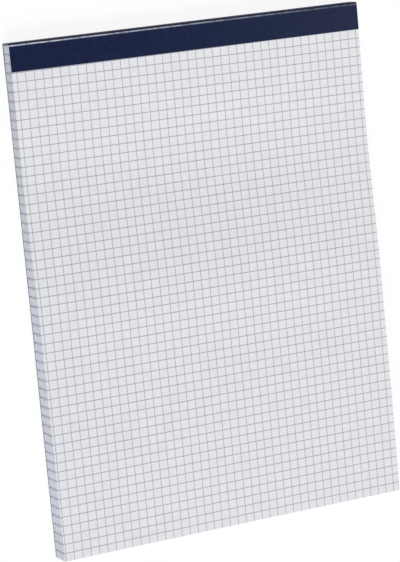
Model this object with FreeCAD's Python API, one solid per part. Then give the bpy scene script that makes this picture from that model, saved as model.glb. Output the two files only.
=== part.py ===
import FreeCAD, Part
import math
import os

# Writing pad bound at the head: a block of loose sheets on a chipboard back. Three wire
# stitches go down through the head, and a strip of binding tape folds over the head edge
# and hides them.
# Millimetres. X runs across the pad, +Y towards the bound head and +Z up out of the top
# sheet. The origin is on the table, under the middle of the pad.

# The sheets. Their block is pressed down to the bare paper under the tape, and stands
# higher where the sheets lie loose. It is level at the head and again at the foot.
sheet_width = 210.0
sheet_length = 280.0
sheet_count = 80
sheet_caliper = 0.1
foot_lift = 3.3
level_at_head = 50.0
level_at_foot = 50.0

# The chipboard back, trimmed together with the sheets.
board_thickness = 0.9

# The binding tape. Each leg is measured from the outside of the head edge, and each fold
# by its inner radius.
tape_thickness = 0.2
tape_front_leg = 15.2
tape_back_leg = 14.0
front_fold_radius = 1.1
back_fold_radius = 0.4

# The wire stitches: flat steel wire, the legs clinched towards each other under the board.
# The outer two are set in from the sides, and the third is in the middle.
stitch_from_side = 30.0
stitch_from_head = 6.0
stitch_crown = 12.0
stitch_clinch = 4.5
wire_thickness = 0.5
wire_width = 0.6
wire_bend_radius = 0.3
wire_clearance = 0.03

# Two places nearer than this are the same place.
same_place = 1e-6

# Places that several pieces share.
head_y = (sheet_length - tape_thickness) / 2.0
foot_y = head_y - sheet_length
right_x = sheet_width / 2.0
left_x = -right_x
stack_top = board_thickness + sheet_count * sheet_caliper
loose_top = stack_top + foot_lift
front_edge_y = head_y + tape_thickness - tape_front_leg
back_edge_y = head_y + tape_thickness - tape_back_leg


def point(y, z):
    """A point of a section, on the pad's left side."""
    return FreeCAD.Vector(left_x, y, z)


def line(start, end):
    return Part.LineSegment(start, end).toShape()


def corner_arc(centre_y, centre_z, radius, start_deg, end_deg):
    """A quarter turn in the section, its angles measured from +Y towards +Z."""
    places = []
    for angle in (start_deg, (start_deg + end_deg) / 2.0, end_deg):
        turn = math.radians(angle)
        places.append(point(centre_y + radius * math.cos(turn), centre_z + radius * math.sin(turn)))
    return Part.Arc(*places).toShape()


def across_pad(edges):
    """A closed section carried across the full width of the pad."""
    section = Part.Face(Part.Wire(edges))
    return section.extrude(FreeCAD.Vector(sheet_width, 0, 0))


def block(x_range, y_range, z_range):
    """A square-edged block between two places on each axis."""
    corner = FreeCAD.Vector(x_range[0], y_range[0], z_range[0])
    return Part.makeBox(
        x_range[1] - x_range[0],
        y_range[1] - y_range[0],
        z_range[1] - z_range[0],
        corner,
    )


def rise_edges():
    """The top of the block from the head's level stretch down to the foot's: two arcs that
    are tangent to both stretches and to each other."""
    start_y = head_y - level_at_head
    end_y = foot_y + level_at_foot
    run = start_y - end_y
    radius = (run ** 2 + foot_lift ** 2) / (4.0 * foot_lift)
    half_turn = math.asin(run / 2.0 / radius) / 2.0
    side_step = radius * math.sin(half_turn)
    lift_step = radius * (1.0 - math.cos(half_turn))
    middle = point((start_y + end_y) / 2.0, (stack_top + loose_top) / 2.0)
    lower = Part.Arc(
        point(start_y, stack_top),
        point(start_y - side_step, stack_top + lift_step),
        middle,
    )
    upper = Part.Arc(
        middle,
        point(end_y + side_step, loose_top - lift_step),
        point(end_y, loose_top),
    )
    return [lower.toShape(), upper.toShape()]


# A stitch spans the stack from just under the tape's front leg to just above its back leg.
stitch_top = stack_top - wire_clearance
stitch_bottom = tape_thickness + wire_clearance
stitch_y = head_y - stitch_from_head


def stitch_pieces(middle_x, clearance):
    """The crown, the two legs and the two clinches of a stitch, as plain blocks that stand
    off the wire by the clearance."""
    outer = stitch_crown / 2.0 + clearance
    inner = stitch_crown / 2.0 - wire_thickness - clearance
    tip = stitch_crown / 2.0 - stitch_clinch - clearance
    high = stitch_top + clearance
    low = stitch_bottom - clearance
    y_range = (stitch_y - wire_width / 2.0 - clearance, stitch_y + wire_width / 2.0 + clearance)
    crown_low = stitch_top - wire_thickness - clearance
    clinch_high = stitch_bottom + wire_thickness + clearance
    pieces = [block((middle_x - outer, middle_x + outer), y_range, (crown_low, high))]
    for side in (-1, 1):
        leg = sorted((middle_x + side * inner, middle_x + side * outer))
        clinch = sorted((middle_x + side * tip, middle_x + side * outer))
        pieces.append(block(leg, y_range, (low, high)))
        pieces.append(block(clinch, y_range, (low, clinch_high)))
    return pieces


def fuse_all(pieces):
    return pieces[0].multiFuse(pieces[1:]).removeSplitter()


def round_bends(shape, middle_x, reach, high, low, radius):
    """Round the four edges along Y that lie the reach to each side, at the two levels."""
    edges = []
    for edge in shape.Edges:
        middle = edge.CenterOfMass
        at_bend = abs(abs(middle.x - middle_x) - reach) < same_place
        at_level = min(abs(middle.z - high), abs(middle.z - low)) < same_place
        if at_bend and at_level and abs(middle.y - stitch_y) < same_place:
            edges.append(edge)
    return shape.makeFillet(radius, edges)


def stitch_shape(middle_x, clearance):
    """A stitch thickened all round by the clearance, its bends rounded on the inside."""
    shape = fuse_all(stitch_pieces(middle_x, clearance))
    return round_bends(
        shape,
        middle_x,
        stitch_crown / 2.0 - wire_thickness - clearance,
        stitch_top - wire_thickness - clearance,
        stitch_bottom + wire_thickness + clearance,
        wire_bend_radius - clearance,
    )


def stitch(middle_x):
    """One stitch of flat wire, its bends rounded on the outside too."""
    outer_radius = wire_bend_radius + wire_thickness
    shape = stitch_shape(middle_x, 0.0)
    return round_bends(shape, middle_x, stitch_crown / 2.0, stitch_top, stitch_bottom, outer_radius)


# Sheet block: the sheets as one solid, its front edge at the head rounded by the tape.
sheet_edges = [
    line(point(foot_y, loose_top), point(foot_y, board_thickness)),
    line(point(foot_y, board_thickness), point(head_y, board_thickness)),
    line(point(head_y, board_thickness), point(head_y, stack_top - front_fold_radius)),
    corner_arc(head_y - front_fold_radius, stack_top - front_fold_radius, front_fold_radius, 0, 90),
    line(point(head_y - front_fold_radius, stack_top), point(head_y - level_at_head, stack_top)),
]
sheet_edges += rise_edges()
sheet_edges.append(line(point(foot_y + level_at_foot, loose_top), point(foot_y, loose_top)))
sheet_block = across_pad(sheet_edges)

# Backing board: one plate, pressed in by the thickness of the tape where the tape laps
# under it, so that the pad lies flat.
board_edges = [
    line(point(foot_y, board_thickness), point(foot_y, 0)),
    line(point(foot_y, 0), point(back_edge_y, 0)),
    line(point(back_edge_y, 0), point(back_edge_y, tape_thickness)),
    line(point(back_edge_y, tape_thickness), point(head_y - back_fold_radius, tape_thickness)),
    corner_arc(head_y - back_fold_radius, tape_thickness + back_fold_radius, back_fold_radius, -90, 0),
    line(point(head_y, tape_thickness + back_fold_radius), point(head_y, board_thickness)),
    line(point(head_y, board_thickness), point(foot_y, board_thickness)),
]
backing_board = across_pad(board_edges)

# Binding tape: one strip, stuck down on the top sheet, over the head edge and under the board.
front_fold_y = head_y - front_fold_radius
front_fold_z = stack_top - front_fold_radius
back_fold_y = head_y - back_fold_radius
back_fold_z = tape_thickness + back_fold_radius
tape_outer_y = head_y + tape_thickness
tape_top = stack_top + tape_thickness
tape_edges = [
    line(point(front_edge_y, stack_top), point(front_edge_y, tape_top)),
    line(point(front_edge_y, tape_top), point(front_fold_y, tape_top)),
    corner_arc(front_fold_y, front_fold_z, front_fold_radius + tape_thickness, 90, 0),
    line(point(tape_outer_y, front_fold_z), point(tape_outer_y, back_fold_z)),
    corner_arc(back_fold_y, back_fold_z, back_fold_radius + tape_thickness, 0, -90),
    line(point(back_fold_y, 0), point(back_edge_y, 0)),
    line(point(back_edge_y, 0), point(back_edge_y, tape_thickness)),
    line(point(back_edge_y, tape_thickness), point(back_fold_y, tape_thickness)),
    corner_arc(back_fold_y, back_fold_z, back_fold_radius, -90, 0),
    line(point(head_y, back_fold_z), point(head_y, front_fold_z)),
    corner_arc(front_fold_y, front_fold_z, front_fold_radius, 0, 90),
    line(point(front_fold_y, stack_top), point(front_edge_y, stack_top)),
]
binding_tape = across_pad(tape_edges)

nodes = {}
stitch_places = {
    "stitch_left": left_x + stitch_from_side,
    "stitch_centre": 0.0,
    "stitch_right": right_x - stitch_from_side,
}
for name, middle_x in stitch_places.items():
    nodes[name] = stitch(middle_x)
    wire_room = stitch_shape(middle_x, wire_clearance)
    sheet_block = sheet_block.cut(wire_room)
    backing_board = backing_board.cut(wire_room)

nodes["sheet_block"] = sheet_block
nodes["backing_board"] = backing_board
nodes["binding_tape"] = binding_tape

os.makedirs("parts", exist_ok=True)
for name, shape in nodes.items():
    solid = shape.Solids[0]
    solid.exportStep("parts/" + name + ".step")
    print(name, solid.isValid(), len(shape.Solids), round(solid.Volume, 2), solid.BoundBox)
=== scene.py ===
import math
import random

import bmesh
import bpy
from mathutils import Matrix, Vector


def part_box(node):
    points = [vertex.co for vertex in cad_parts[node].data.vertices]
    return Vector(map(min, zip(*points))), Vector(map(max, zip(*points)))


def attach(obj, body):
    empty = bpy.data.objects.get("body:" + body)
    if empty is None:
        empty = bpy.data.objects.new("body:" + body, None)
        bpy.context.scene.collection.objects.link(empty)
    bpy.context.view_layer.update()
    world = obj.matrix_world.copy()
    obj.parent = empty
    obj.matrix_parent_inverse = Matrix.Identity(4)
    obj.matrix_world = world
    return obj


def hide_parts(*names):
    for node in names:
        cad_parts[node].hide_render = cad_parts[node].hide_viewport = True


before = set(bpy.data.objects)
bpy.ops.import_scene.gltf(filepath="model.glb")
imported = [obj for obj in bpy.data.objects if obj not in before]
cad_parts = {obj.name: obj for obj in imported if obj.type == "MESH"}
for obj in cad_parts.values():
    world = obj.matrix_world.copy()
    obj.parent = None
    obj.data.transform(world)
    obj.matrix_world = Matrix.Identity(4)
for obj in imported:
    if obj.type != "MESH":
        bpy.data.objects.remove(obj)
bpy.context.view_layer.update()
MM = 0.001


# Backing board: a plate of grey chipboard, pressed from pulped waste paper in thin layers.
# It is trimmed with the sheets in one guillotine cut, and lies loose under them except at
# the head, where the stitches and the tape hold it.
board_low, board_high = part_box("backing_board")
tape_low, tape_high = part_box("binding_tape")
tape_thickness = 0.2 * MM
tape_back_leg = 14.0 * MM
back_leg_edge = tape_high.y - tape_back_leg
step_run = 0.01 * MM
corner_blunting = 0.9 * MM
edge_softening = 0.1 * MM
corner_segments = 4
edge_segments = 2


def scaled_box(shape, low, high):
    """A block of six faces between two corners."""
    bmesh.ops.create_cube(shape, size=1.0)
    bmesh.ops.scale(shape, vec=high - low, verts=shape.verts)
    bmesh.ops.translate(shape, vec=(high + low) / 2, verts=shape.verts)


def bevel_edges(shape, edges, width, segments):
    bmesh.ops.bevel(
        shape,
        geom=edges,
        offset=width,
        offset_type="OFFSET",
        affect="EDGES",
        segments=segments,
        profile=0.5,
        material=-1,
    )


def cut_across(shape, y):
    """A ring of edges round the piece at this distance along it."""
    everything = list(shape.verts) + list(shape.edges) + list(shape.faces)
    bmesh.ops.bisect_plane(shape, geom=everything, plane_co=(0, y, 0), plane_no=(0, 1, 0))


def piece_from(shape, name, material, node, sharp_degrees=35):
    """Turns a finished bmesh into a piece of the pad that stands for one of its nodes."""
    bmesh.ops.recalc_face_normals(shape, faces=shape.faces)
    for face in shape.faces:
        face.smooth = True
    for edge in shape.edges:
        edge.smooth = edge.calc_face_angle(0.0) < math.radians(sharp_degrees)
    mesh = bpy.data.meshes.new(name)
    shape.to_mesh(mesh)
    shape.free()
    piece = bpy.data.objects.new(name, mesh)
    bpy.context.scene.collection.objects.link(piece)
    mesh.materials.append(material)
    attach(piece, "root")
    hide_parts(node)
    return piece


def linear(hex_colour):
    """An sRGB hex colour as linear red, green, blue and alpha."""
    parts = []
    for start in (1, 3, 5):
        value = int(hex_colour[start:start + 2], 16) / 255
        parts.append(value / 12.92 if value <= 0.04045 else ((value + 0.055) / 1.055) ** 2.4)
    return (*parts, 1.0)


def add(tree, kind, settings=(), links=()):
    """Adds a node, sets its fields, and links or fills its inputs."""
    made = tree.nodes.new(kind)
    for field, value in dict(settings).items():
        setattr(made, field, value)
    for socket, value in dict(links).items():
        if isinstance(value, bpy.types.NodeSocket):
            tree.links.new(value, made.inputs[socket])
        else:
            made.inputs[socket].default_value = value
    return made


def new_material(name):
    """An empty material, with its node tree and its Object coordinates in metres."""
    material = bpy.data.materials.new(name)
    material.use_nodes = True
    tree = material.node_tree
    tree.nodes.clear()
    place = add(tree, "ShaderNodeTexCoord").outputs["Object"]
    return material, tree, place


def set_ramp(ramp_node, stops):
    """Fills a colour ramp with (position, hex colour) stops."""
    elements = ramp_node.color_ramp.elements
    while len(elements) < len(stops):
        elements.new(0.5)
    for element, (position, colour) in zip(elements, stops):
        element.position = position
        element.color = linear(colour)
    return ramp_node.outputs["Color"]


def finish_surface(tree, shader):
    add(tree, "ShaderNodeOutputMaterial", links={"Surface": shader.outputs["BSDF"]})


# Grey chipboard, air-dried and unglazed: a dull neutral grey with pale and dark flecks of
# old print, clouds of faint brown, and fine layers along its cut edge. Under the tape at the
# head it is painted darker: partly gum stain, partly painted shade from the tape's back leg.
fleck_size = 0.7 * MM
cloud_size = 9.0 * MM
layer_size = 0.12 * MM
gum_and_shade_creep = 1.0 * MM
board_material, tree, place = new_material("grey_chipboard")
flecks = add(
    tree,
    "ShaderNodeTexNoise",
    links={"Vector": place, "Scale": 1 / fleck_size, "Detail": 3.0, "Roughness": 0.7},
)
fleck_colour = set_ramp(
    add(tree, "ShaderNodeValToRGB", links={"Fac": flecks.outputs["Fac"]}),
    [(0.27, "#67686a"), (0.42, "#9a9b9d"), (0.58, "#a7a8aa"), (0.72, "#c2c3c4")],
)
clouds = add(
    tree,
    "ShaderNodeTexNoise",
    links={"Vector": place, "Scale": 1 / cloud_size, "Detail": 4.0},
)
cloud_colour = set_ramp(
    add(tree, "ShaderNodeValToRGB", links={"Fac": clouds.outputs["Fac"]}),
    [(0.3, "#d9d6d2"), (0.7, "#ffffff")],
)
board_colour = add(
    tree,
    "ShaderNodeMix",
    {"data_type": "RGBA", "blend_type": "MULTIPLY"},
    {"Factor": 1.0, 6: fleck_colour, 7: cloud_colour},
)
along_pad = add(tree, "ShaderNodeSeparateXYZ", links={"Vector": place}).outputs["Y"]
# Painted darker under the tape at the head: gum stain and painted shade.
gum_and_painted_shade_share = add(
    tree,
    "ShaderNodeMapRange",
    {"interpolation_type": "SMOOTHSTEP"},
    {
        "Value": along_pad,
        "From Min": back_leg_edge - gum_and_shade_creep,
        "From Max": back_leg_edge + gum_and_shade_creep,
    },
)
gum_and_painted_shade_colour = add(
    tree,
    "ShaderNodeMix",
    {"data_type": "RGBA", "blend_type": "MULTIPLY"},
    {"Factor": gum_and_painted_shade_share.outputs["Result"], 6: board_colour.outputs[2], 7: linear("#85868b")},
)
layer_place = add(tree, "ShaderNodeMapping", links={"Vector": place, "Scale": (0.15, 0.15, 1.0)})
layers = add(
    tree,
    "ShaderNodeTexNoise",
    links={"Vector": layer_place.outputs[0], "Scale": 1 / layer_size, "Detail": 1.0},
)
board_bump = add(
    tree,
    "ShaderNodeBump",
    links={"Strength": 0.5, "Distance": 0.05 * MM, "Height": layers.outputs["Fac"]},
)
board_shader = add(
    tree,
    "ShaderNodeBsdfPrincipled",
    links={
        "Base Color": gum_and_painted_shade_colour.outputs[2],
        "Roughness": 0.9,
        "Specular IOR Level": 0.25,
        "Normal": board_bump.outputs["Normal"],
    },
)
finish_surface(tree, board_shader)

board = bmesh.new()
scaled_box(board, board_low, board_high)
cut_across(board, back_leg_edge)
cut_across(board, back_leg_edge + step_run)
under_tape = []
for vert in board.verts:
    if vert.co.z < board_high.z / 2 and vert.co.y > back_leg_edge + step_run / 2:
        under_tape.append(vert)
bmesh.ops.translate(board, vec=(0, 0, tape_thickness), verts=under_tape)
foot_corners = []
for edge in board.edges:
    upright = abs(edge.verts[0].co.z - edge.verts[1].co.z) > board_high.z / 2
    if upright and edge.verts[0].co.y < board_low.y + corner_blunting:
        foot_corners.append(edge)
bevel_edges(board, foot_corners, corner_blunting, corner_segments)
long_edges = []
for edge in board.edges:
    square = edge.calc_face_angle(0.0) > math.radians(60)
    if square and edge.verts[0].co.y < back_leg_edge:
        long_edges.append(edge)
bevel_edges(board, long_edges, edge_softening, edge_segments)
piece_from(board, "board", board_material, "backing_board")


# Sheets: thin white writing paper with a square ruling, gathered in a block and trimmed
# together. The block is pressed tight under the tape and loosens towards the foot, where
# the sheets stand a little apart.
sheet_count = 80
sheet_low, sheet_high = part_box("sheet_block")
head_y = sheet_high.y
foot_y = sheet_low.y
half_width = sheet_high.x
pressed_top = tape_high.z - tape_thickness
level_at_head = 50.0 * MM
level_at_foot = 50.0 * MM
fold_radius = 1.1 * MM
tape_front_leg = 15.2 * MM
trim_room = 0.15 * MM
trim_scatter = 0.04 * MM
sheet_share = 0.93
under_tape_room = 0.01 * MM
foot_sag = 0.55 * MM
sag_start = 190 * MM
sag_end = 275 * MM
calm_run = 20 * MM

# Slow waves in the upper sheets: place from the middle line and from the head, reach both
# ways, and height, all in millimetres.
paper_waves = [
    (-20, 32, 65, 16, 0.20),
    (-10, 72, 140, 25, -0.85),
    (-5, 137, 130, 33, 1.50),
    (45, 172, 60, 24, -0.16),
    (-70, 205, 50, 14, -0.16),
    (-50, 238, 50, 18, 0.20),
]


def smooth_step(value, start, end):
    part = min(max((value - start) / (end - start), 0.0), 1.0)
    return part * part * (3 - 2 * part)


def block_height(y):
    """Height of the whole block of sheets over the board, without its waves."""
    run = head_y - foot_y - level_at_head - level_at_foot
    part = min(max((head_y - level_at_head - y) / run, 0.0), 1.0)
    rise = 2 * part ** 2 if part < 0.5 else 1 - 2 * (1 - part) ** 2
    return pressed_top - sheet_low.z + rise * (sheet_high.z - pressed_top)


def wave_height(x, y):
    """How far the top sheet stands off that height at a place, never past the foot's level."""
    along = head_y - y
    height = 0.0
    for middle_x, middle_along, reach_x, reach_along, swell in paper_waves:
        far = ((x / MM - middle_x) / reach_x) ** 2 + ((along / MM - middle_along) / reach_along) ** 2
        height += swell * MM * math.exp(-far)
    middle_share = 1 - (x / half_width) ** 2
    height -= foot_sag * middle_share * smooth_step(along, sag_start, sag_end)
    height *= smooth_step(along, tape_front_leg, tape_front_leg + calm_run)
    return min(height, sheet_high.z - sheet_low.z - block_height(y))


def level(share, x, y):
    """Height at a place of the plane that lies this share of the block up from the board."""
    flat = sheet_low.z + share * block_height(y)
    return flat + share ** 2 * wave_height(x, y) - share * under_tape_room


def head_limit(z):
    """How far towards the head a sheet reaches at this height, inside the tape's fold."""
    over = z - (pressed_top - fold_radius)
    if over <= 0:
        return head_y
    return head_y - fold_radius + math.sqrt(max(fold_radius ** 2 - over ** 2, 0.0))


def lay_sheet(shape, place_layer, number, across, along, print_scatter):
    """Adds one sheet, counted from the board, as a thin slab that follows its own two levels.
    Every corner keeps its place on the flat sheet, which the ruling is printed by, and the
    print is off its mean place by the scatter."""
    low_share = number / sheet_count
    high_share = (number + sheet_share) / sheet_count
    shift_x = max(-trim_room, min(trim_room, random_trim.gauss(0, trim_scatter)))
    shift_y = max(-trim_room, min(trim_room, random_trim.gauss(0, trim_scatter)))
    print_x = random_trim.gauss(0, print_scatter)
    print_y = random_trim.gauss(0, print_scatter)
    made = bmesh.ops.create_grid(shape, x_segments=across, y_segments=along, size=0.5)
    under = made["verts"]
    faces = list({face for vert in under for face in vert.link_faces})
    raised = bmesh.ops.extrude_face_region(shape, geom=faces, use_keep_orig=True)
    over = [item for item in raised["geom"] if isinstance(item, bmesh.types.BMVert)]
    middle_y = (head_y + foot_y) / 2
    for verts, share in ((under, low_share), (over, high_share)):
        for vert in verts:
            flat_x = vert.co.x * 2 * (half_width - trim_room)
            flat_y = middle_y + vert.co.y * (head_y - foot_y - 2 * trim_room)
            x = flat_x + shift_x
            y = flat_y + shift_y
            z = level(share, x, y)
            y = min(y, head_limit(z) - trim_room / 3)
            vert.co = (x, y, z)
            vert[place_layer] = Vector((flat_x + print_x, flat_y + print_y, 0.0))


# Writing paper, uncoated and machine finished: soft white with a faint blue brightener,
# quite matt, and cloudy when looked at closely. The grey ruling is offset printed to all
# four edges, a hair askew to the trim, so its lines end on the cut sides as small marks
# that build up to a bluish stripe every 5 mm. The cut sides are painted darker towards the
# head, and at their head end, under the tape's fold, they get a near-black painted shade
# with a little gum stain. The paper's own felt marks, a tenth of a millimetre wide, are
# drawn coarser, so that they show.
ruling_pitch = 5.0 * MM
ruling_scatter = 0.33 * MM
first_upright = Vector((-102.0 * MM, head_y, 0))
first_level = Vector((0, 134.75 * MM, 0))
upright_direction = Vector((1, -0.0073, 0))
level_direction = Vector((-0.0022, 1, 0))
upright_width = 0.38 * MM
level_width = 0.43 * MM
side_spread = 0.45 * MM
edge_feather = 0.05 * MM
formation_size = 7.0 * MM
ink_grain_size = 0.6 * MM
cut_layer_size = 0.5 * MM
felt_size = 0.5 * MM
head_darkening_run = 150.0 * MM
head_shade_depth = 0.7 * MM
head_shade_reach = 1.1 * MM
paper_material, tree, place = new_material("uncoated_writing_paper")
sheet_place = add(tree, "ShaderNodeAttribute", {"attribute_name": "sheet_place"}).outputs["Vector"]
facing = add(tree, "ShaderNodeNewGeometry").outputs["Normal"]
facing_up = add(tree, "ShaderNodeSeparateXYZ", links={"Vector": facing}).outputs["Z"]
flatness = add(tree, "ShaderNodeMath", {"operation": "ABSOLUTE"}, {0: facing_up}).outputs[0]
on_side = add(
    tree,
    "ShaderNodeMapRange",
    {"interpolation_type": "SMOOTHSTEP"},
    {"Value": flatness, "From Min": 0.3, "From Max": 0.7, "To Min": 1.0, "To Max": 0.0},
).outputs["Result"]


def ruled_lines(direction, start, width, strength):
    """Ink of one set of parallel lines: its strength on a line and 0 between lines. On the
    cut sides the marks spread wider."""
    turned = add(
        tree,
        "ShaderNodeVectorMath",
        {"operation": "DOT_PRODUCT"},
        {0: sheet_place, 1: direction / ruling_pitch},
    )
    counted = add(
        tree,
        "ShaderNodeMath",
        {"operation": "SUBTRACT"},
        {0: turned.outputs["Value"], 1: start.dot(direction) / ruling_pitch},
    )
    away = add(tree, "ShaderNodeMath", {"operation": "PINGPONG"}, {0: counted.outputs[0], 1: 0.5})
    feather = edge_feather / ruling_pitch
    reach = add(
        tree,
        "ShaderNodeMath",
        {"operation": "MULTIPLY_ADD"},
        {0: on_side, 1: -side_spread / 2 / ruling_pitch, 2: away.outputs[0]},
    )
    line = add(
        tree,
        "ShaderNodeMapRange",
        {"interpolation_type": "SMOOTHSTEP"},
        {
            "Value": reach.outputs[0],
            "From Min": width / 2 / ruling_pitch - feather,
            "From Max": width / 2 / ruling_pitch + feather,
            "To Min": strength,
            "To Max": 0.0,
        },
    )
    return line.outputs["Result"]


def bounded(lines_ink, direction, last):
    """The same ink, but none past the last line of the set."""
    turned = add(
        tree,
        "ShaderNodeVectorMath",
        {"operation": "DOT_PRODUCT"},
        {0: sheet_place, 1: direction},
    )
    inside = add(
        tree,
        "ShaderNodeMath",
        {"operation": "GREATER_THAN"},
        {0: turned.outputs["Value"], 1: last},
    )
    kept = add(
        tree,
        "ShaderNodeMath",
        {"operation": "MULTIPLY"},
        {0: lines_ink, 1: inside.outputs[0]},
    )
    return kept.outputs[0]


upright_ink = ruled_lines(upright_direction, first_upright, upright_width, 0.86)
level_ink = ruled_lines(level_direction, first_level, level_width, 0.90)
level_ink = bounded(level_ink, level_direction, foot_y + ruling_pitch / 4)
crossed = add(tree, "ShaderNodeMath", {"operation": "MAXIMUM"}, {0: upright_ink, 1: level_ink})
ink_grain = add(
    tree,
    "ShaderNodeTexNoise",
    links={"Vector": place, "Scale": 1 / ink_grain_size, "Detail": 2.0},
)
ink_cover = add(
    tree,
    "ShaderNodeMapRange",
    links={
        "Value": ink_grain.outputs["Fac"],
        "From Min": 0.3,
        "From Max": 0.7,
        "To Min": 0.75,
        "To Max": 1.0,
    },
)
ink = add(
    tree,
    "ShaderNodeMath",
    {"operation": "MULTIPLY"},
    {0: crossed.outputs[0], 1: ink_cover.outputs["Result"]},
)
formation = add(
    tree,
    "ShaderNodeTexNoise",
    links={"Vector": place, "Scale": 1 / formation_size, "Detail": 5.0, "Roughness": 0.6},
)
face_white = set_ramp(
    add(tree, "ShaderNodeValToRGB", links={"Fac": formation.outputs["Fac"]}),
    [(0.3, "#e1e1e3"), (0.7, "#e6e5e7")],
)
layer_place = add(tree, "ShaderNodeMapping", links={"Vector": place, "Scale": (0.02, 0.02, 1.0)})
layering = add(
    tree,
    "ShaderNodeTexNoise",
    links={
        "Vector": layer_place.outputs[0],
        "Scale": 1 / cut_layer_size,
        "Detail": 3.0,
        "Roughness": 0.7,
    },
)
cut_white = set_ramp(
    add(tree, "ShaderNodeValToRGB", links={"Fac": layering.outputs["Fac"]}),
    [(0.3, "#ccd4e0"), (0.5, "#e2e8f2"), (0.7, "#eef2f9")],
)
along_sheet = add(tree, "ShaderNodeSeparateXYZ", links={"Vector": place}).outputs["Y"]
# The cut sides are painted darker towards the head.
darker_to_head = add(
    tree,
    "ShaderNodeMapRange",
    {"interpolation_type": "SMOOTHSTEP"},
    {"Value": along_sheet, "From Min": head_y - head_darkening_run, "From Max": head_y, "To Max": 0.45},
)
side_white_darker_to_head = add(
    tree,
    "ShaderNodeMix",
    {"data_type": "RGBA"},
    {"Factor": darker_to_head.outputs["Result"], 6: cut_white, 7: linear("#bcc2cc")},
)
# Painted shade, near black, at the head end of the cut sides under the tape's fold, with a little gum
# stain.
head_end_painted_shade = add(
    tree,
    "ShaderNodeMapRange",
    {"interpolation_type": "SMOOTHSTEP"},
    {"Value": along_sheet, "From Min": head_y - head_shade_reach, "From Max": head_y - head_shade_depth},
)
side_white_with_head_shade = add(
    tree,
    "ShaderNodeMix",
    {"data_type": "RGBA"},
    {"Factor": head_end_painted_shade.outputs["Result"], 6: side_white_darker_to_head.outputs[2], 7: linear("#1d1f27")},
)
bare_paper = add(
    tree,
    "ShaderNodeMix",
    {"data_type": "RGBA"},
    {"Factor": on_side, 6: face_white, 7: side_white_with_head_shade.outputs[2]},
)
ink_colour = add(
    tree,
    "ShaderNodeMix",
    {"data_type": "RGBA"},
    {"Factor": on_side, 6: linear("#8a8b93"), 7: linear("#5a647c")},
)
printed = add(
    tree,
    "ShaderNodeMix",
    {"data_type": "RGBA"},
    {"Factor": ink.outputs[0], 6: bare_paper.outputs[2], 7: ink_colour.outputs[2]},
)
felt = add(
    tree,
    "ShaderNodeTexNoise",
    links={"Vector": place, "Scale": 1 / felt_size, "Detail": 3.0},
)
paper_bump = add(
    tree,
    "ShaderNodeBump",
    links={"Strength": 0.3, "Distance": 0.008 * MM, "Height": felt.outputs["Fac"]},
)
paper_shader = add(
    tree,
    "ShaderNodeBsdfPrincipled",
    links={
        "Base Color": printed.outputs[2],
        "Roughness": 0.75,
        "Specular IOR Level": 0.25,
        "Normal": paper_bump.outputs["Normal"],
    },
)
finish_surface(tree, paper_shader)

random_trim = random.Random(11)
pile_grid = (6, 30)
top_sheet_grid = (60, 80)
pile = bmesh.new()
pile_place = pile.verts.layers.float_vector.new("sheet_place")
for number in range(sheet_count - 1):
    lay_sheet(pile, pile_place, number, *pile_grid, ruling_scatter)
piece_from(pile, "sheet_pile", paper_material, "sheet_block")

top_sheet = bmesh.new()
top_place = top_sheet.verts.layers.float_vector.new("sheet_place")
lay_sheet(top_sheet, top_place, sheet_count - 1, *top_sheet_grid, 0.0)
piece_from(top_sheet, "top_sheet", paper_material, "sheet_block")


# Wire stitches: galvanised flat wire, driven down through the head of the block and
# clinched under the board. The tape covers them, so their own nodes are kept and only take
# the dull zinc finish, with faint marks along it from drawing the wire.
draw_mark_size = 0.05 * MM
wire_material, tree, place = new_material("galvanised_flat_wire")
drawn = add(
    tree,
    "ShaderNodeMapping",
    links={"Vector": place, "Scale": (0.1, 1.0, 1.0)},
)
draw_marks = add(
    tree,
    "ShaderNodeTexNoise",
    links={"Vector": drawn.outputs[0], "Scale": 1 / draw_mark_size, "Detail": 2.0},
)
wire_colour = set_ramp(
    add(tree, "ShaderNodeValToRGB", links={"Fac": draw_marks.outputs["Fac"]}),
    [(0.3, "#a9abae"), (0.7, "#c6c8ca")],
)
wire_bump = add(
    tree,
    "ShaderNodeBump",
    links={"Strength": 0.3, "Distance": 0.01 * MM, "Height": draw_marks.outputs["Fac"]},
)
wire_shader = add(
    tree,
    "ShaderNodeBsdfPrincipled",
    links={
        "Base Color": wire_colour,
        "Metallic": 1.0,
        "Roughness": 0.38,
        "Normal": wire_bump.outputs["Normal"],
    },
)
finish_surface(tree, wire_shader)
for name in ("stitch_left", "stitch_centre", "stitch_right"):
    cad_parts[name].data.materials.clear()
    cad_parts[name].data.materials.append(wire_material)


# Binding tape: one strip of navy coated paper, gummed on its inner side. It is stuck down
# on the top sheet, folded tight over the head, and turned under the board.
tape_half_width = tape_high.x
front_outer_radius = fold_radius + tape_thickness
back_fold_radius = 0.4 * MM
back_outer_radius = back_fold_radius + tape_thickness
front_edge = tape_high.y - tape_front_leg
front_fold_y = tape_high.y - front_outer_radius
front_fold_z = tape_high.z - front_outer_radius
back_fold_y = tape_high.y - back_outer_radius
back_fold_z = tape_low.z + back_outer_radius
steps_across = 60
steps_along = 6
front_fold_steps = 10
back_fold_steps = 6
same_place = 1e-7

# The coating is rubbed along the fold, and the pale line there is also a painted highlight
# on the fold. Cuts beside it, in millimetres, keep that line thin.
wear_highlight_cuts = (0.15, 0.3, 0.45, 0.6, 1.0)
wear_highlight_reach = 0.29 * MM
wear_highlight_end = 80 * MM


def last_edges(result, key):
    return [item for item in result[key] if isinstance(item, bmesh.types.BMEdge)]


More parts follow.
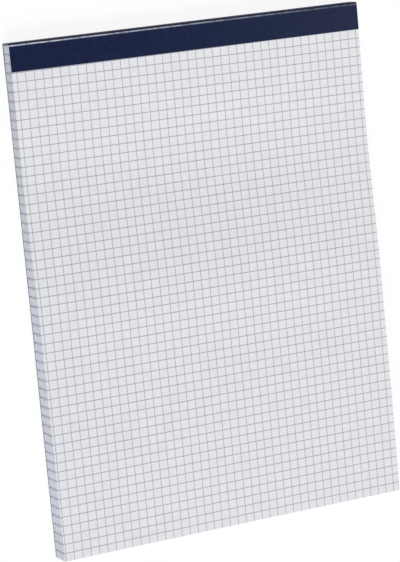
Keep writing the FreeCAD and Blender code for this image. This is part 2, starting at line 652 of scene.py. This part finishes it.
def turn_fold(shape, edges, fold_y, fold_z, steps):
    """Carries a row of edges a quarter turn down round a fold that runs across the pad."""
    made = bmesh.ops.spin(
        shape,
        geom=edges,
        cent=(0, fold_y, fold_z),
        axis=(1, 0, 0),
        dvec=(0, 0, 0),
        angle=-math.pi / 2,
        steps=steps,
        use_duplicate=False,
    )
    return last_edges(made, "geom_last")


def carry_on(shape, edges, step):
    """Carries a row of edges straight on."""
    made = bmesh.ops.extrude_edge_only(shape, edges=edges)
    moved = [item for item in made["geom"] if isinstance(item, bmesh.types.BMVert)]
    bmesh.ops.translate(shape, vec=step, verts=moved)
    return last_edges(made, "geom")


tape = bmesh.new()
leg_run = front_fold_y - front_edge
bmesh.ops.create_grid(tape, x_segments=steps_across, y_segments=steps_along, size=0.5)
bmesh.ops.scale(tape, vec=(2 * tape_half_width, leg_run, 1), verts=tape.verts)
bmesh.ops.translate(tape, vec=(0, (front_edge + front_fold_y) / 2, tape_high.z), verts=tape.verts)
row = [e for e in tape.edges if min(v.co.y for v in e.verts) > front_fold_y - same_place]
row = turn_fold(tape, row, front_fold_y, front_fold_z, front_fold_steps)
row = carry_on(tape, row, (0, 0, back_fold_z - front_fold_z))
row = turn_fold(tape, row, back_fold_y, back_fold_z, back_fold_steps)
row = carry_on(tape, row, (0, back_leg_edge - back_fold_y, 0))
bmesh.ops.remove_doubles(tape, verts=tape.verts, dist=same_place)
for step in wear_highlight_cuts:
    cut_across(tape, front_fold_y - step * MM)
bmesh.ops.recalc_face_normals(tape, faces=tape.faces)
bmesh.ops.solidify(tape, geom=tape.faces[:], thickness=tape_thickness)
# Share of the pale fold line at each corner: rubbed coating and painted highlight.
fold_wear_highlight_layer = tape.verts.layers.float.new("fold_wear_and_highlight")
crown_turn = math.radians(4)
fold_crown = Vector((0, front_fold_y, front_fold_z))
fold_crown += Vector((0, math.sin(crown_turn), math.cos(crown_turn))) * front_outer_radius
for vert in tape.verts:
    off_crown = (Vector((0, vert.co.y, vert.co.z)) - fold_crown).length
    vert[fold_wear_highlight_layer] = math.exp(-(off_crown / wear_highlight_reach) ** 2)

# Navy binding tape, calendered and film coated: a smooth, deep blue with a soft gloss and
# a faint grained emboss. Along the fold a pale line is painted in short scuffs, brightest at
# the left end: partly rubbed coating, partly a painted highlight on the fold.
mottle_size = 3.0 * MM
scuff_size = 0.9 * MM
emboss_size = 0.45 * MM
tape_material, tree, place = new_material("coated_binding_tape")
mottle = add(
    tree,
    "ShaderNodeTexNoise",
    links={"Vector": place, "Scale": 1 / mottle_size, "Detail": 4.0, "Roughness": 0.7},
)
navy = set_ramp(
    add(tree, "ShaderNodeValToRGB", links={"Fac": mottle.outputs["Fac"]}),
    [(0.3, "#091432"), (0.7, "#132144")],
)
wear_and_highlight = add(tree, "ShaderNodeAttribute", {"attribute_name": "fold_wear_and_highlight"}).outputs["Fac"]
scuff_place = add(tree, "ShaderNodeMapping", links={"Vector": place, "Scale": (0.3, 1.0, 1.0)})
scuffs = add(
    tree,
    "ShaderNodeTexNoise",
    links={"Vector": scuff_place.outputs[0], "Scale": 1 / scuff_size, "Detail": 3.0},
)
across_pad = add(tree, "ShaderNodeSeparateXYZ", links={"Vector": place}).outputs["X"]
wear_and_highlight_fade = add(
    tree,
    "ShaderNodeMapRange",
    links={
        "Value": across_pad,
        "From Min": -tape_half_width,
        "From Max": wear_highlight_end,
        "To Min": 1.0,
        "To Max": 0.2,
    },
)
ragged_wear_and_highlight = add(
    tree,
    "ShaderNodeMapRange",
    {"interpolation_type": "SMOOTHSTEP"},
    {"Value": scuffs.outputs["Fac"], "From Min": 0.4, "From Max": 0.56, "To Min": 0.5, "To Max": 1.0},
)
scuffed_wear_and_highlight = add(
    tree,
    "ShaderNodeMath",
    {"operation": "MULTIPLY"},
    {0: wear_and_highlight, 1: ragged_wear_and_highlight.outputs["Result"]},
)
wear_and_highlight_share = add(
    tree,
    "ShaderNodeMath",
    {"operation": "MULTIPLY"},
    {0: scuffed_wear_and_highlight.outputs[0], 1: wear_and_highlight_fade.outputs["Result"]},
)
# Mixes in the pale fold line: rubbed coating and a painted highlight.
tape_colour = add(
    tree,
    "ShaderNodeMix",
    {"data_type": "RGBA"},
    {"Factor": wear_and_highlight_share.outputs[0], 6: navy, 7: linear("#e9ecf8")},
)
emboss = add(
    tree,
    "ShaderNodeTexNoise",
    links={"Vector": place, "Scale": 1 / emboss_size, "Detail": 2.0},
)
tape_bump = add(
    tree,
    "ShaderNodeBump",
    links={"Strength": 0.35, "Distance": 0.015 * MM, "Height": emboss.outputs["Fac"]},
)
tape_shader = add(
    tree,
    "ShaderNodeBsdfPrincipled",
    links={
        "Base Color": tape_colour.outputs[2],
        "Roughness": 0.36,
        "Specular IOR Level": 0.2,
        "Normal": tape_bump.outputs["Normal"],
    },
)
finish_surface(tree, tape_shader)
piece_from(tape, "tape", tape_material, "binding_tape")


# Studio: a plain white floor that keeps a faint shadow, a broad soft light high beyond the
# foot, weaker ones behind the head and on the right, and a pale sky. The floor is open
# under the pad, so that light reaches the chipboard when it is looked at from below.
floor_gap = 0.02 * MM
rim = 4.0 * MM
shadow_share = 0.12
opening = Vector((board_high.x - rim, board_high.y - rim, 0))
floor_shape = bmesh.new()
bmesh.ops.create_grid(floor_shape, x_segments=1, y_segments=1, size=4.0)
bmesh.ops.translate(floor_shape, vec=(0, 0, -floor_gap), verts=floor_shape.verts)
for corner, outward in ((opening, 1), (-opening, -1)):
    for axis in (0, 1):
        normal = Vector((0, 0, 0))
        normal[axis] = outward
        everything = list(floor_shape.verts) + list(floor_shape.edges) + list(floor_shape.faces)
        bmesh.ops.bisect_plane(floor_shape, geom=everything, plane_co=corner, plane_no=normal)
under_pad = [face for face in floor_shape.faces if face.calc_center_median().length < 1 * MM]
bmesh.ops.delete(floor_shape, geom=under_pad, context="FACES")
floor_mesh = bpy.data.meshes.new("floor")
floor_shape.to_mesh(floor_mesh)
floor_shape.free()
floor = bpy.data.objects.new("floor", floor_mesh)
bpy.context.scene.collection.objects.link(floor)
floor_material, tree, place = new_material("white_studio_floor")
seen = add(tree, "ShaderNodeLightPath").outputs["Is Camera Ray"]
floor_paint = add(tree, "ShaderNodeBsdfDiffuse", links={"Color": linear("#e6e6e8")})
white_ground = add(tree, "ShaderNodeEmission", links={"Color": (1.0, 1.0, 1.0, 1.0), "Strength": 1.0})
shaded_ground = add(tree, "ShaderNodeBsdfDiffuse", links={"Color": (1.0, 1.0, 1.0, 1.0)})
seen_ground = add(
    tree,
    "ShaderNodeMixShader",
    links={0: shadow_share, 1: white_ground.outputs[0], 2: shaded_ground.outputs[0]},
)
floor_shader = add(
    tree,
    "ShaderNodeMixShader",
    links={0: seen, 1: floor_paint.outputs[0], 2: seen_ground.outputs[0]},
)
add(tree, "ShaderNodeOutputMaterial", links={"Surface": floor_shader.outputs[0]})
floor_mesh.materials.append(floor_material)

world = bpy.data.worlds.new("studio_sky")
bpy.context.scene.world = world
world.use_nodes = True
tree = world.node_tree
tree.nodes.clear()
seen = add(tree, "ShaderNodeLightPath").outputs["Is Camera Ray"]
sky_colour = add(
    tree,
    "ShaderNodeMix",
    {"data_type": "RGBA"},
    {"Factor": seen, 6: (0.265, 0.275, 0.298, 1.0), 7: (1.0, 1.0, 1.0, 1.0)},
)
sky = add(tree, "ShaderNodeBackground", links={"Color": sky_colour.outputs[2], "Strength": 1.0})
add(tree, "ShaderNodeOutputWorld", links={"Surface": sky.outputs[0]})


def soft_light(name, place, aim, width, depth, power):
    """A rectangular soft box that faces a point."""
    lamp = bpy.data.lights.new(name, "AREA")
    lamp.shape = "RECTANGLE"
    lamp.size = width
    lamp.size_y = depth
    lamp.energy = power
    stand = bpy.data.objects.new(name, lamp)
    bpy.context.scene.collection.objects.link(stand)
    stand.location = place
    stand.rotation_euler = (Vector(aim) - Vector(place)).to_track_quat("-Z", "Y").to_euler()


soft_light("main_light", (-1.1, -2.7, 2.6), (0, 0, 0), 3.0, 2.0, 144.5)
soft_light("behind_head", (0.0, 0.62, 0.5), (0, 0.1, 0), 0.3, 0.25, 1.0)
soft_light("right_glow", (0.62, 0.05, 0.62), (0, 0.1, 0), 0.3, 0.3, 0.8)

# Camera: above the pad's left side and past its head, looking down across it, with a long
# lens. The head is turned up in the picture, and the whole leans a few degrees.
camera_place = Vector((-606.3, 217.0, 1273.4)) * MM
camera_aim = Vector((-7.9, -1.0, 10.0)) * MM
camera_lean = math.radians(-5.4)
camera_data = bpy.data.cameras.new("camera")
camera_data.sensor_width = 36.0
camera_data.lens = 165.4
camera = bpy.data.objects.new("camera", camera_data)
bpy.context.scene.collection.objects.link(camera)
backward = (camera_place - camera_aim).normalized()
rightward = Vector((0, 1, 0)).cross(backward).normalized()
upward = backward.cross(rightward)
turn = Matrix((rightward, upward, backward)).transposed() @ Matrix.Rotation(camera_lean, 3, "Z")
camera.matrix_world = Matrix.Translation(camera_place) @ turn.to_4x4()
bpy.context.scene.camera = camera
bpy.context.scene.view_settings.view_transform = "Standard"
